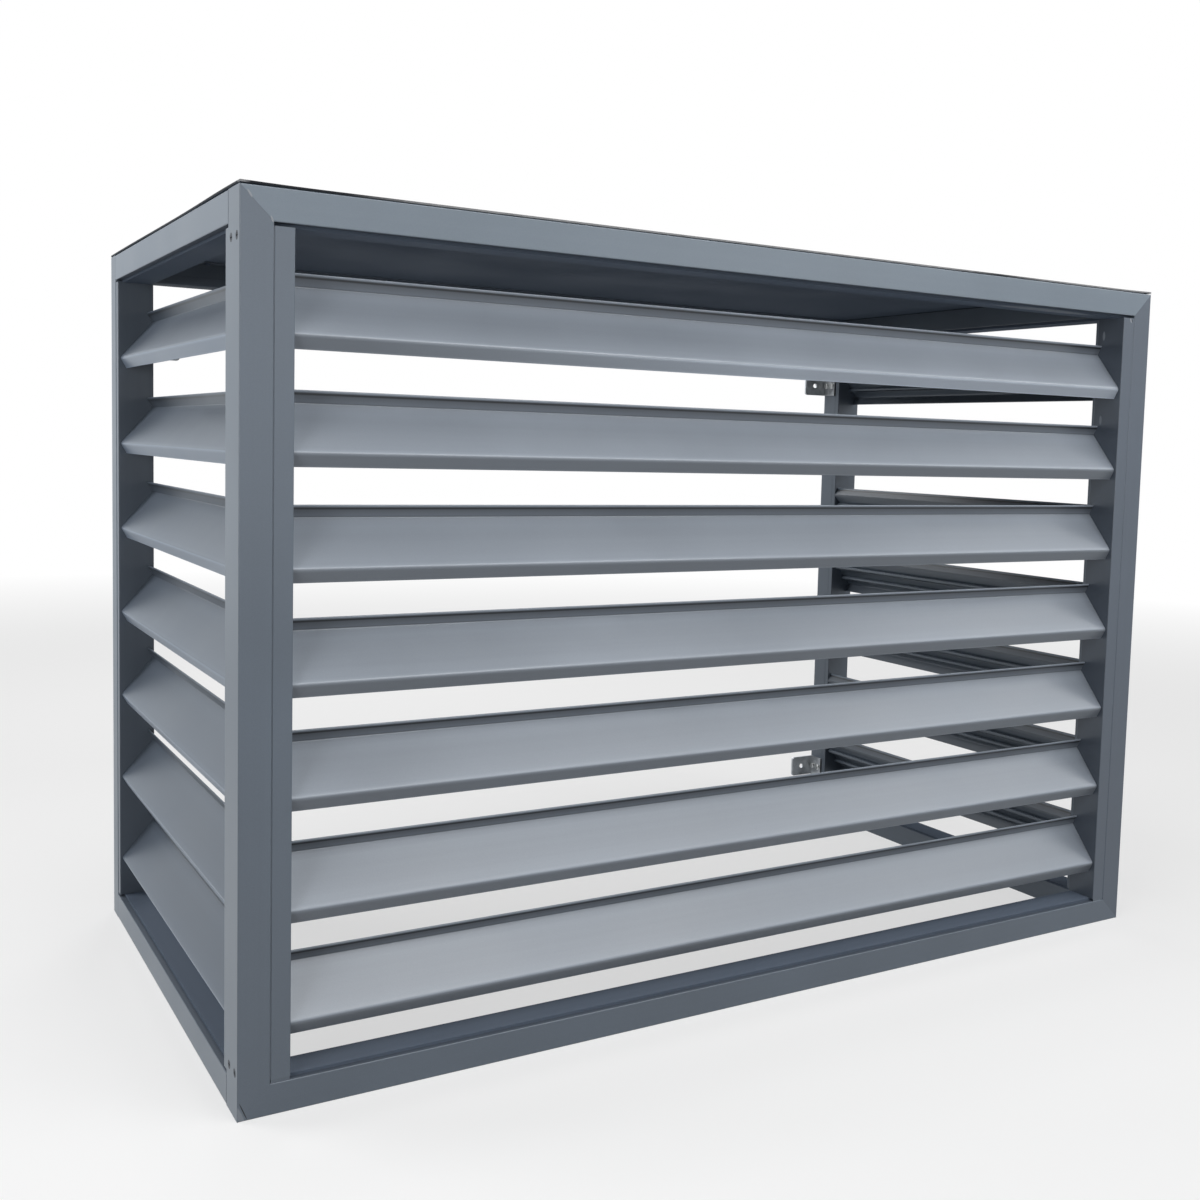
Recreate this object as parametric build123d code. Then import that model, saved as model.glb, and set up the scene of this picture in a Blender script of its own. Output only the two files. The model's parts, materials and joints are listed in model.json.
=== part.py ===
from build123d import *
import math
import os

# Louvred screen for outdoor equipment, in powder-coated aluminium. Millimetres, +Z up, the front
# faces -Y and the open back faces +Y. The origin is on the ground, at the centre of the footprint.

# Overall size, measured over the frame and the top sheet.
overall_width = 1120
overall_depth = 600
overall_height = 800

# Frame tube: the face seen from outside, its depth into the screen, its wall and its outer corners.
# The back posts are the same tube, turned so that the narrow face shows at the sides. The back rail
# is a square tube of that face.
tube_face = 28.5
tube_depth = 38
tube_wall = 1.8
tube_corner_radius = 1.2

# Hairline that stays open where two cut tube ends meet.
joint_gap = 0.1

# Corner keys inside the mitred corners, and spigots inside the ends of the other rails.
insert_clearance = 0.15
key_leg = 72
key_tip_chamfer = 3
spigot_length = 40

# Countersunk frame screws: the ones on the side faces of the posts are in view.
frame_screw_head_diameter = 8
frame_screw_diameter = 4.2
frame_screw_head_height = 1.9
frame_screw_length = 15
frame_screw_height = 41
frame_screw_near_edge = 9
frame_screw_far_edge = 28
recess_width = 1.1
recess_span = 4.4
recess_depth = 1.2
hole_clearance = 0.1

# Long screws that hold each spigot to its post.
spigot_screw_diameter = 4.8
spigot_screw_head_diameter = 9
spigot_screw_head_height = 3.4
spigot_screw_bite = 12

# Plugs in both ends of the back posts.
plug_height = 9
plug_floor = 2
plug_wall = 1.6

# Louvre cassette: channel jambs, and flat strips at head and sill. The jambs sit a little behind
# the outer face of the frame, with a play beside each post, and cover the full depth of the blades.
# Their back lip is shorter, to clear the jamb round the corner. The strips are set back further, so
# a dark line shows between each rail and the ends of the jambs.
cassette_recess = 0.6
cassette_play = 0.7
front_jamb_face = 17.1
side_jamb_face = 10.3
jamb_depth = 39.8
jamb_wall = 1.5
jamb_corner_radius = 0.9
jamb_lip_cut = 2.4
strip_thickness = 3
strip_setback = 6
strip_edge_radius = 0.5
boss_outer_diameter = 6.5
boss_bore_diameter = 3.5
boss_slot = 1.6
jamb_boss_setback = 23.6

# Blade section, from its nose inwards: nose flange, slope and back flange, all of one sheet gauge.
blade_count = 7
blade_gauge = 1.6
blade_run = 36
blade_rise = 43
blade_setback = 3
nose_flange = 14.2
back_flange = 12.6
flange_lean = 29
nose_bend_radius = 2.4
crease_bend_radius = 1.1
flange_end_radius = 0.6
blade_end_gap = 0.3
port_shares = (0.3, 0.7)

# How much of a pan head's height its rounded rim takes.
pan_rim_share = 0.45

# Screws that hold the blade ends: their heads lie inside the jamb channel.
blade_screw_diameter = 3.3
blade_screw_head_diameter = 6.2
blade_screw_head_height = 2.2
blade_screw_bite = 14

# Countersunk screws of the cassette strips, into the rails and into the ends of the jambs.
strip_screw_diameter = 3.3
strip_screw_head_diameter = 6
strip_screw_head_height = 1.6
strip_screw_length = 11
front_strip_screw_shares = (-0.38, 0, 0.38)
side_strip_screw_shares = (-0.3, 0.3)

# Top sheet, loose on the frame, with the two angles under it that locate it and stiffen it.
sheet_thickness = 2
sheet_seat_gap = 0.3
sheet_corner_radius = 1.5
angle_leg = 18
angle_gauge = 1.5
angle_play = 2
rivet_diameter = 4
rivet_head_diameter = 8
rivet_head_height = 1.2
rivet_tail_diameter = 6.4
rivet_tail_height = 1.6
rivet_rim_share = 0.8
rivet_shares = (-0.44, -0.22, 0, 0.22, 0.44)

# Wall brackets on the inner faces of the back posts.
bracket_gauge = 3
bracket_height = 30
bracket_wall_leg = 40
bracket_hole_diameter = 7
bracket_hole_from_post = 22
bracket_lower_centre = 75
bracket_below_frame_top = 102.7
bracket_corner_radius = 4
bracket_screw_diameter = 4.2
bracket_screw_head_diameter = 8.4
bracket_screw_head_height = 2.8
bracket_screw_length = 12
bracket_screw_spacing = 14

# How far a cutting tool runs past the face that it cuts.
overrun = 1

# Places that follow from the sizes above.
left = -overall_width / 2
right = overall_width / 2
front = -overall_depth / 2
back = overall_depth / 2
frame_top = overall_height - sheet_thickness - sheet_seat_gap
sheet_bottom = overall_height - sheet_thickness
bracket_upper_centre = frame_top - bracket_below_frame_top
back_frame_front = back - tube_face
side_middle = (front + tube_depth + back_frame_front) / 2
strip_front = cassette_recess + strip_setback
sill_top = tube_face + strip_thickness
head_bottom = frame_top - tube_face - strip_thickness
lean = math.radians(flange_lean)
nose_drop = nose_flange * math.cos(lean)
back_lift = back_flange * math.cos(lean)
blade_height = nose_drop + blade_rise + back_lift
air_gap = (head_bottom - sill_top - blade_count * blade_height) / (blade_count + 1)
nose_heights = [
    sill_top + air_gap + nose_drop + row * (blade_height + air_gap) for row in range(blade_count)
]

# Each panel has its own axes: x runs inwards from the outer face, y runs up, z runs along the panel.
panels = {
    "front": Plane(origin=(0, front, 0), x_dir=(0, 1, 0), z_dir=(1, 0, 0)),
    "left": Plane(origin=(left, side_middle, 0), x_dir=(1, 0, 0), z_dir=(0, -1, 0)),
    "right": Plane(origin=(right, side_middle, 0), x_dir=(-1, 0, 0), z_dir=(0, 1, 0)),
}
side_length = back_frame_front - front - tube_depth - 2 * cassette_play
cassette_lengths = {
    "front": overall_width - 2 * (tube_face + cassette_play),
    "left": side_length,
    "right": side_length,
}
jamb_faces = {"front": front_jamb_face, "left": side_jamb_face, "right": side_jamb_face}
jamb_names = {
    "front": ("front_left_jamb", "front_right_jamb"),
    "left": ("left_back_jamb", "left_front_jamb"),
    "right": ("right_front_jamb", "right_back_jamb"),
}

parts = {}


def block(low, high):
    """A box between two corners."""
    size = [b - a for a, b in zip(low, high)]
    return Pos(*low) * Box(*size, align=(Align.MIN, Align.MIN, Align.MIN))


def rod(start, direction, diameter, length):
    """A round bar from a point along a direction."""
    plane = Plane(origin=start, z_dir=direction)
    return plane.location * Cylinder(
        diameter / 2, length, align=(Align.CENTER, Align.CENTER, Align.MIN)
    )


def cone(start, direction, wide, narrow, length):
    """A round taper from a point along a direction."""
    plane = Plane(origin=start, z_dir=direction)
    return plane.location * Cone(
        wide / 2, narrow / 2, length, align=(Align.CENTER, Align.CENTER, Align.MIN)
    )


def prism(points, normal_axis, start, length):
    """Extrudes an outline of (across, up) points along Y or X."""
    if normal_axis == "Y":
        corners = [(a, start, b) for a, b in points]
        direction = (0, 1, 0)
    else:
        corners = [(start, a, b) for a, b in points]
        direction = (1, 0, 0)
    outline = Polyline(*corners, close=True)
    return extrude(make_face(outline), amount=length, dir=direction)


def countersunk_shape(point, inward, head_diameter, diameter, head_height, length, growth):
    """A flush screw whose head lies on point and which runs inwards, grown for use as a cutter."""
    head = cone(point, inward, head_diameter + 2 * growth, diameter + 2 * growth, head_height)
    shank = rod(point, inward, diameter + 2 * growth, length + growth)
    return head + shank


def pan_screw(point, inward, head_diameter, head_height, diameter, length):
    """A screw whose round head stands on point, outside, and whose shank runs inwards."""
    outward = Vector(*inward) * -1
    head = rod(point, outward, head_diameter, head_height)
    rim = head.edges().filter_by(GeomType.CIRCLE).sort_by(Axis(point, outward))[-1]
    head = fillet(rim, head_height * pan_rim_share)
    return head + rod(point, inward, diameter, length)


def tube(low, high, axis):
    """A rectangular tube that fills a box, open at its two ends along the axis."""
    outer = block(low, high)
    outer = fillet(outer.edges().filter_by(axis), tube_corner_radius)
    inner_low = list(low)
    inner_high = list(high)
    for place, tube_axis in enumerate((Axis.X, Axis.Y, Axis.Z)):
        along = tube_axis == axis
        inner_low[place] += -overrun if along else tube_wall
        inner_high[place] -= -overrun if along else tube_wall
    return outer - block(inner_low, inner_high)


def mitre_outline(low_x, high_x, low_z, high_z, long_corners):
    """A tube's outline seen from the front, cut at 45 degrees at both ends towards its long corners."""
    slack = joint_gap / math.sqrt(2)
    upright = high_x - low_x < high_z - low_z
    points = []
    for name, x, z, side_x, side_z in (
        ("low_left", low_x, low_z, 1, 1),
        ("low_right", high_x, low_z, -1, 1),
        ("high_right", high_x, high_z, -1, -1),
        ("high_left", low_x, high_z, 1, -1),
    ):
        shift = slack if name in long_corners else slack + tube_face
        if upright:
            points.append((x, z + side_z * shift))
        else:
            points.append((x + side_x * shift, z))
    return points


def frame_screw_places():
    """Every countersunk frame screw: its head point and the direction that it runs in.

    In the back rail, which is less deep, they pass above the long screws of the spigots.
    """
    places = []
    top_height = frame_top - frame_screw_height
    for outer_x, inward in ((left, (1, 0, 0)), (right, (-1, 0, 0))):
        for edge in (frame_screw_near_edge, frame_screw_far_edge):
            places.append(((outer_x, front + edge, frame_screw_height), inward))
            places.append(((outer_x, front + edge, top_height), inward))
    for side in (-1, 1):
        key_x = side * (right - frame_screw_height)
        for height in (tube_face / 2, frame_top - tube_face / 2):
            places.append(((key_x, front + tube_depth, height), (0, -1, 0)))
        inner_x = side * (right - tube_depth)
        back_x = side * (right - tube_depth - spigot_length / 2)
        places.append(((back_x, back_frame_front, frame_top - tube_face / 4), (0, 1, 0)))
        for height in (tube_face / 2, frame_top - tube_face / 2):
            for y in (front + tube_depth + spigot_length / 2, back_frame_front - spigot_length / 2):
                places.append(((inner_x, y, height), (side, 0, 0)))
    return places


def spigot_places():
    """Each spigot: its two corners, then the free end and the direction of its long screw."""
    inset = tube_wall + insert_clearance
    half = tube_face / 2 - inset
    top_height = frame_top - tube_face / 2
    places = []
    for side in (-1, 1):
        xs = sorted((side * (right - inset), side * (right - tube_depth + inset)))
        for end, post_y in ((-1, front + tube_depth), (1, back_frame_front)):
            free_y = post_y - end * spigot_length
            ys = sorted((post_y, free_y))
            for height in (tube_face / 2, top_height):
                low = (xs[0], ys[0], height - half)
                high = (xs[1], ys[1], height + half)
                start = (side * (right - tube_face / 2), free_y, height)
                places.append((low, high, start, (0, end, 0)))
        post_x = side * (right - tube_depth)
        free_x = post_x - side * spigot_length
        xs = sorted((post_x, free_x))
        middle_y = back - tube_face / 2
        low = (xs[0], middle_y - half, top_height - half)
        high = (xs[1], middle_y + half, top_height + half)
        places.append((low, high, (free_x, middle_y, top_height), (side, 0, 0)))
    return places


def spigot_screw(start, direction, growth):
    """The long screw from the free end of a spigot into its post."""
    length = spigot_length + tube_wall + spigot_screw_bite
    if growth:
        return rod(start, direction, spigot_screw_diameter + 2 * growth, length + growth)
    return pan_screw(
        start,
        direction,
        spigot_screw_head_diameter,
        spigot_screw_head_height,
        spigot_screw_diameter,
        length,
    )


def frame_cutters():
    """The holes for every frame screw and spigot screw."""
    cutters = []
    for point, inward in frame_screw_places():
        cutters.append(
            countersunk_shape(
                point,
                inward,
                frame_screw_head_diameter,
                frame_screw_diameter,
                frame_screw_head_height,
                frame_screw_length,
                hole_clearance,
            )
        )
    for _, _, start, direction in spigot_places():
        cutters.append(spigot_screw(start, direction, hole_clearance))
    return cutters


def cut_near(solid, cutters):
    """Cuts the tools whose boxes meet the solid's box."""
    box = solid.bounding_box()
    near = []
    for cutter in cutters:
        other = cutter.bounding_box()
        apart = any(
            lo > hi
            for lo, hi in (
                (other.min.X, box.max.X),
                (other.min.Y, box.max.Y),
                (other.min.Z, box.max.Z),
                (box.min.X, other.max.X),
                (box.min.Y, other.max.Y),
                (box.min.Z, other.max.Z),
            )
        )
        if not apart:
            near.append(cutter)
    for cutter in near:
        solid = solid - cutter
    return solid


def make_frame(cutters):
    """Posts and rails: the front is a mitred rectangle, and the other rails butt against posts."""
    front_back_y = front + tube_depth
    top_low = frame_top - tube_face

    def mitred(name, low, high, axis, long_corners):
        outline = mitre_outline(low[0], high[0], low[2], high[2], long_corners)
        keep = prism(outline, "Y", low[1] - overrun, high[1] - low[1] + 2 * overrun)
        parts[name] = cut_near(tube(low, high, axis) & keep, cutters)

    mitred(
        "front_left_post",
        (left, front, 0),
        (left + tube_face, front_back_y, frame_top),
        Axis.Z,
        ("low_left", "high_left"),
    )
    mitred(
        "front_right_post",
        (right - tube_face, front, 0),
        (right, front_back_y, frame_top),
        Axis.Z,
        ("low_right", "high_right"),
    )
    mitred(
        "front_bottom_rail",
        (left, front, 0),
        (right, front_back_y, tube_face),
        Axis.X,
        ("low_left", "low_right"),
    )
    mitred(
        "front_top_rail",
        (left, front, top_low),
        (right, front_back_y, frame_top),
        Axis.X,
        ("high_left", "high_right"),
    )
    for name, low_x, high_x in (("left", left, left + tube_depth), ("right", right - tube_depth, right)):
        post = tube((low_x, back_frame_front, 0), (high_x, back, frame_top), Axis.Z)
        parts[f"back_{name}_post"] = cut_near(post, cutters)
        for place, low_z in (("bottom", 0), ("top", top_low)):
            rail = tube(
                (low_x, front_back_y + joint_gap, low_z),
                (high_x, back_frame_front - joint_gap, low_z + tube_face),
                Axis.Y,
            )
            parts[f"{name}_{place}_rail"] = cut_near(rail, cutters)
    back_rail = tube(
        (left + tube_depth + joint_gap, back_frame_front, top_low),
        (right - tube_depth - joint_gap, back, frame_top),
        Axis.X,
    )
    parts["back_top_rail"] = cut_near(back_rail, cutters)


def corner_key(side, up):
    """An L-shaped key that fills the tubes at one mitred corner of the front."""
    inset = tube_wall + insert_clearance
    thick = tube_face - 2 * inset
    corner_x = side * (right - inset)
    corner_z = frame_top - inset if up else inset
    turn_x = -side
    turn_z = -1 if up else 1
    tip = key_tip_chamfer
    shape = (
        (0, 0),
        (key_leg - tip, 0),
        (key_leg, tip),
        (key_leg, thick - tip),
        (key_leg - tip, thick),
        (thick, thick),
        (thick, key_leg - tip),
        (thick - tip, key_leg),
        (tip, key_leg),
        (0, key_leg - tip),
    )
    points = [(corner_x + turn_x * a, corner_z + turn_z * b) for a, b in shape]
    return prism(points, "Y", front + inset, tube_depth - 2 * inset)


def make_inserts(cutters):
    """What hides inside the tubes: corner keys, spigots and plugs."""
    inset = tube_wall + insert_clearance
    keys = [corner_key(side, up) for side in (-1, 1) for up in (False, True)]
    parts["front_corner_keys"] = [cut_near(key, cutters) for key in keys]
    parts["rail_spigots"] = [cut_near(block(low, high), cutters) for low, high, _, _ in spigot_places()]
    plugs = []
    for side in (-1, 1):
        low_x, high_x = sorted((side * (right - inset), side * (right - tube_depth + inset)))
        low_y = back_frame_front + inset
        high_y = back - inset
        for end_z, inward in ((0, 1), (frame_top, -1)):
            low_z, high_z = sorted((end_z, end_z + inward * plug_height))
            plug = block((low_x, low_y, low_z), (high_x, high_y, high_z))
            low_z, high_z = sorted((end_z + inward * plug_floor, end_z + inward * (plug_height + overrun)))
            hollow = block(
                (low_x + plug_wall, low_y + plug_wall, low_z),
                (high_x - plug_wall, high_y - plug_wall, high_z),
            )
            plugs.append(plug - hollow)
    parts["post_end_plugs"] = plugs


def make_frame_screws():
    """Countersunk screws with a cross recess, and the long screws of the spigots."""
    screws = []
    for point, inward in frame_screw_places():
        screw = countersunk_shape(
            point,
            inward,
            frame_screw_head_diameter,
            frame_screw_diameter,
            frame_screw_head_height,
            frame_screw_length,
            0,
        )
        plane = Plane(origin=point, z_dir=inward)
        for turn in (0, 90):
            slot = Box(recess_span, recess_width, recess_depth * 2)
            screw = screw - plane.location * Rot(0, 0, turn) * slot
        screws.append(screw)
    parts["frame_screws"] = screws
    parts["spigot_screws"] = [spigot_screw(start, direction, 0) for _, _, start, direction in spigot_places()]


def offset_line(points, distance):
    """The points of an open outline moved to its right by a distance, with sharp corners."""
    moved = []
    count = len(points)
    for place, (x, y) in enumerate(points):
        normals = []
        for start in (place - 1, place):
            if 0 <= start < count - 1:
                run = points[start + 1][0] - points[start][0]
                rise = points[start + 1][1] - points[start][1]
                size = math.hypot(run, rise)
                normals.append((rise / size, -run / size))
        if len(normals) == 1:
            moved.append((x + normals[0][0] * distance, y + normals[0][1] * distance))
            continue
        (ax, ay), (bx, by) = normals
        scale = distance / (1 + ax * bx + ay * by)
        moved.append((x + (ax + bx) * scale, y + (ay + by) * scale))
    return moved


def port_centres():
    """Centres of the two screw ports, measured from the nose of the blade."""
    length = math.hypot(blade_run, blade_rise)
    reach = blade_gauge + boss_outer_diameter / 2 - (boss_outer_diameter - boss_bore_diameter) / 4
    return [
        (
            share * blade_run + reach * blade_rise / length,
            share * blade_rise - reach * blade_run / length,
        )
        for share in port_shares
    ]


def screw_boss(centre, slot_direction):
    """The section of a screw port: a ring with a slot along one side."""
    ring = Pos(*centre) * (Circle(boss_outer_diameter / 2) - Circle(boss_bore_diameter / 2))
    slot_length = boss_outer_diameter
    turn = math.degrees(math.atan2(slot_direction[1], slot_direction[0]))
    slot = Rectangle(slot_length, boss_slot, align=(Align.MIN, Align.CENTER))
    return ring - Pos(*centre) * Rot(0, 0, turn) * slot


def blade_section():
    """The section of a blade, with its nose at the origin, x inwards and y up."""
    sway = math.sin(lean)
    outer = [
        (nose_flange * sway, -nose_drop),
        (0, 0),
        (blade_run, blade_rise),
        (blade_run - back_flange * sway, blade_rise + back_lift),
    ]
    inner = offset_line(outer, blade_gauge)
    outline = make_face(Polyline(*outer, *reversed(inner), close=True))

    def corner(point):
        return outline.vertices().sort_by_distance(Vertex(*point, 0))[0]

    bends = [(outer[1], nose_bend_radius + blade_gauge), (inner[1], nose_bend_radius)]
    bends += [(outer[2], crease_bend_radius), (inner[2], crease_bend_radius + blade_gauge)]
    bends += [(point, flange_end_radius) for point in (outer[0], outer[3], inner[0], inner[3])]
    for point, radius in bends:
        outline = fillet(corner(point), radius)
    section = outline
    slope = (blade_rise, -blade_run)
    for centre in port_centres():
        section = section + screw_boss(centre, slope)
    return section


def jamb_boss_place(face):
    """How far the centre of a jamb's screw boss lies from the open side of the channel."""
    wall = (boss_outer_diameter - boss_bore_diameter) / 4
    return face - jamb_wall - boss_outer_diameter / 2 + wall


def jamb_section(face):
    """The channel of a jamb in plan: x runs inwards, y runs from its open side to the opening."""
    outer = Rectangle(jamb_depth, face, align=Align.MIN)
    outer = fillet(outer.vertices().group_by(Axis.Y)[-1], jamb_corner_radius)
    hollow = Pos(jamb_wall, -overrun) * Rectangle(
        jamb_depth - 2 * jamb_wall, face - jamb_wall + overrun, align=Align.MIN
    )
    lip = Pos(jamb_depth / 2, -overrun) * Rectangle(
        jamb_depth / 2 + overrun, jamb_lip_cut + overrun, align=Align.MIN
    )
    return outer - hollow - lip + screw_boss((jamb_boss_setback, jamb_boss_place(face)), (0, -1))


def strip_screw_places(panel):
    """Screws of the strips: rail screws and jamb-end screws, in the axes of the panel."""
    shares = front_strip_screw_shares if panel == "front" else side_strip_screw_shares
    length = cassette_lengths[panel]
    middle = (strip_front + tube_depth) / 2
    places = []
    for share in shares:
        places.append(((middle, sill_top, share * length), (0, -1, 0)))
        places.append(((middle, head_bottom, share * length), (0, 1, 0)))
    boss_x = cassette_recess + jamb_boss_setback
    boss_along = length / 2 - jamb_boss_place(jamb_faces[panel])
    for end in (-1, 1):
        places.append(((boss_x, tube_face, end * boss_along), (0, 1, 0)))
        places.append(((boss_x, frame_top - tube_face, end * boss_along), (0, -1, 0)))
    return places


def strip_screw(point, inward, growth):
    return countersunk_shape(
        point,
        inward,
        strip_screw_head_diameter,
        strip_screw_diameter,
        strip_screw_head_height,
        strip_screw_length,
        growth,
    )


def make_cassette(panel):
    """Jambs, strips, blades and their screws for one side of the screen."""
    plane = panels[panel]
    length = cassette_lengths[panel]
    half = length / 2
    jamb_face = jamb_faces[panel]
    channel = jamb_section(jamb_face)
    ports = port_centres()
    screw_cutters = [
        plane.location * strip_screw(point, inward, hole_clearance)
        for point, inward in strip_screw_places(panel)
    ]

    blade_screws = []
    jamb_cutters = []
    for end in (-1, 1):
        seat = end * (half - jamb_face + jamb_wall)
        for height in nose_heights:
            for x, y in ports:
                point = (blade_setback + x, height + y, seat)
                blade_screws.append(
                    plane.location
                    * pan_screw(
                        point,
                        (0, 0, -end),
                        blade_screw_head_diameter,
                        blade_screw_head_height,
                        blade_screw_diameter,
                        jamb_wall + blade_screw_bite,
                    )
                )
                start = (point[0], point[1], seat + end * overrun)
                hole = rod(
                    start,
                    (0, 0, -end),
                    blade_screw_diameter + 2 * hole_clearance,
                    jamb_wall + 2 * overrun,
                )
                jamb_cutters.append(plane.location * hole)
    parts[f"{panel}_blade_screws"] = blade_screws

    for name, end in zip(jamb_names[panel], (-1, 1)):
        base = Plane(origin=(cassette_recess, sill_top, end * half), x_dir=(1, 0, 0), z_dir=(0, 1, 0))
        section = channel if end == 1 else mirror(channel, about=Plane.XZ)
        jamb = extrude(base.location * section, amount=head_bottom - sill_top, dir=(0, 1, 0))
        jamb = plane.location * jamb
        parts[name] = cut_near(jamb, jamb_cutters)

    for name, low in (("sill", tube_face), ("head", head_bottom)):
        strip = block((strip_front, low, -half), (tube_depth, low + strip_thickness, half))
        exposed = strip.edges().filter_by(Axis.Z).group_by(Axis.Y)
        rim = exposed[-1] if name == "sill" else exposed[0]
        strip = fillet(rim.sort_by(Axis.X)[0], strip_edge_radius)
        parts[f"{panel}_{name}"] = cut_near(plane.location * strip, screw_cutters)

    blade_length = length - 2 * jamb_face - 2 * blade_end_gap
    blade = extrude(blade_section(), amount=blade_length)
    for row, height in enumerate(nose_heights):
        place = Pos(blade_setback, height, -blade_length / 2)
        parts[f"{panel}_blade_{blade_count - row}"] = plane.location * place * blade
    return screw_cutters


def make_strip_screws():
    screws = []
    for panel, plane in panels.items():
        for point, inward in strip_screw_places(panel):
            screws.append(plane.location * strip_screw(point, inward, 0))
    parts["cassette_screws"] = screws


def make_top():
    """The loose top sheet with its two angles and their rivets."""
    sheet = block((left, front, sheet_bottom), (right, back, overall_height))
    sheet = fillet(sheet.edges().filter_by(Axis.Z), sheet_corner_radius)
    half = right - tube_depth - angle_play
    rivets = []
    cutters = []
    for name, end, frame_depth in (("front", -1, tube_depth), ("back", 1, tube_face)):
        wall_y = end * (back - frame_depth - angle_play)
        points = (
            (wall_y, sheet_bottom),
            (wall_y, sheet_bottom - angle_leg),
            (wall_y - end * angle_gauge, sheet_bottom - angle_leg),
            (wall_y - end * angle_gauge, sheet_bottom - angle_gauge),
            (wall_y - end * angle_leg, sheet_bottom - angle_gauge),
            (wall_y - end * angle_leg, sheet_bottom),
        )
        angle = prism(points, "X", -half, 2 * half)
        for share in rivet_shares:
            x = share * 2 * half
            y = wall_y - end * (angle_gauge + angle_leg) / 2
            tail_top = sheet_bottom - angle_gauge
            shank = rod((x, y, tail_top), (0, 0, 1), rivet_diameter, angle_gauge + sheet_thickness)
            head = rod((x, y, overall_height), (0, 0, 1), rivet_head_diameter, rivet_head_height)
            rim = head.edges().filter_by(GeomType.CIRCLE).sort_by(Axis.Z)[-1]
            head = fillet(rim, rivet_head_height * rivet_rim_share)
            tail = rod((x, y, tail_top), (0, 0, -1), rivet_tail_diameter, rivet_tail_height)
            rivets.append(shank + head + tail)
            cutters.append(
                rod(
                    (x, y, tail_top - overrun),
                    (0, 0, 1),
                    rivet_diameter + 2 * hole_clearance,
                    angle_gauge + sheet_thickness + 2 * overrun,
                )
            )
        parts[f"top_{name}_angle"] = cut_near(angle, cutters)
    parts["top_sheet"] = cut_near(sheet, cutters)
    parts["top_rivets"] = rivets


def make_brackets():
    """Wall brackets and the pan head screws that hold them to the back posts."""
    brackets = []
    screws = []
    post_cutters = []
    for side in (-1, 1):
        post_x = side * (right - tube_depth)
        for centre in (bracket_lower_centre, bracket_upper_centre):
            low_z = centre - bracket_height / 2
            high_z = centre + bracket_height / 2
            xs = (post_x, post_x - side * bracket_gauge)
            post_leg = block((min(xs), back_frame_front, low_z), (max(xs), back, high_z))
            xs = (post_x, post_x - side * bracket_wall_leg)
            wall_leg = block((min(xs), back - bracket_gauge, low_z), (max(xs), back, high_z))
            tip = wall_leg.edges().filter_by(Axis.Y).sort_by_distance(Vertex(post_x, back, centre))[2:]
            wall_leg = fillet(tip, bracket_corner_radius)
            bracket = post_leg + wall_leg
            hole_x = post_x - side * bracket_hole_from_post
            start = (hole_x, back - bracket_gauge - overrun, centre)
            length = bracket_gauge + 2 * overrun
            bracket = bracket - rod(start, (0, 1, 0), bracket_hole_diameter, length)
            middle_y = back - bracket_gauge - (tube_face - bracket_gauge) / 2
            for step in (-1, 1):
                y = middle_y + step * bracket_screw_spacing / 2
                point = (post_x - side * bracket_gauge, y, centre)
                screws.append(
                    pan_screw(
                        point,
                        (side, 0, 0),
                        bracket_screw_head_diameter,
                        bracket_screw_head_height,
                        bracket_screw_diameter,
                        bracket_screw_length,
                    )
                )
                hole = rod(
                    (point[0] - side * overrun, y, centre),
                    (side, 0, 0),
                    bracket_screw_diameter + 2 * hole_clearance,
                    bracket_gauge + tube_wall + 2 * overrun,
                )
                bracket = bracket - hole
                post_cutters.append(hole)
            brackets.append(bracket)
    parts["wall_brackets"] = brackets
    parts["bracket_screws"] = screws
    for name in ("back_left_post", "back_right_post"):
        parts[name] = cut_near(parts[name], post_cutters)


def as_single(shape):
    """Gives one shape per node: a group becomes a compound of its separate solids."""
    pieces = shape if isinstance(shape, list) else [shape]
    solids = [solid for piece in pieces for solid in piece.solids()]
    return solids[0] if len(solids) == 1 else Compound(children=solids)


frame_holes = frame_cutters()
make_frame(frame_holes)
make_inserts(frame_holes)
make_frame_screws()
strip_holes = []
for panel_name in panels:
    strip_holes += make_cassette(panel_name)
for rail_name in (
    "front_bottom_rail",
    "front_top_rail",
    "left_bottom_rail",
    "left_top_rail",
    "right_bottom_rail",
    "right_top_rail",
):
    parts[rail_name] = cut_near(parts[rail_name], strip_holes)
make_strip_screws()
make_top()
make_brackets()

os.makedirs("parts", exist_ok=True)
for node, shape in parts.items():
    export_step(as_single(shape), f"parts/{node}.step")
print(len(parts), "nodes, air gap", round(air_gap, 2), "blade height", round(blade_height, 2))
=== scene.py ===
import json
import math

import bmesh
import bpy
from mathutils import Matrix, Vector


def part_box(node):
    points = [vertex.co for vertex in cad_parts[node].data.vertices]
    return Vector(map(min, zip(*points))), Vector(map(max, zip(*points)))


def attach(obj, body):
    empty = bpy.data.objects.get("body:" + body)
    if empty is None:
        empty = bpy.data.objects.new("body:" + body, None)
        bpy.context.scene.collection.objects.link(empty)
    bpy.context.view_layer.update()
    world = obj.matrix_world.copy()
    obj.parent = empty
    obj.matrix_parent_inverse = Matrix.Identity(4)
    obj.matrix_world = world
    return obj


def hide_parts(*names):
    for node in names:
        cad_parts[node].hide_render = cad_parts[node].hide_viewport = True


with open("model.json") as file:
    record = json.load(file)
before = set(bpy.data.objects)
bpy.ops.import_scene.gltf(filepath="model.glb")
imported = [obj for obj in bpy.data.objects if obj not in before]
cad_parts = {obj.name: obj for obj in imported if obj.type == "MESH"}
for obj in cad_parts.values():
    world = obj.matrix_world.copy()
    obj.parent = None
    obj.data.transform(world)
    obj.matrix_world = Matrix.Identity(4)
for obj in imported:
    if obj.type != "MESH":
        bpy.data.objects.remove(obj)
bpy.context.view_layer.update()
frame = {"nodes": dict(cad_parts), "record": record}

# The camera, fitted to the edges of the object in the photograph, whose frame is 1200 by 1200.
frame_pixels = 1200
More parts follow.
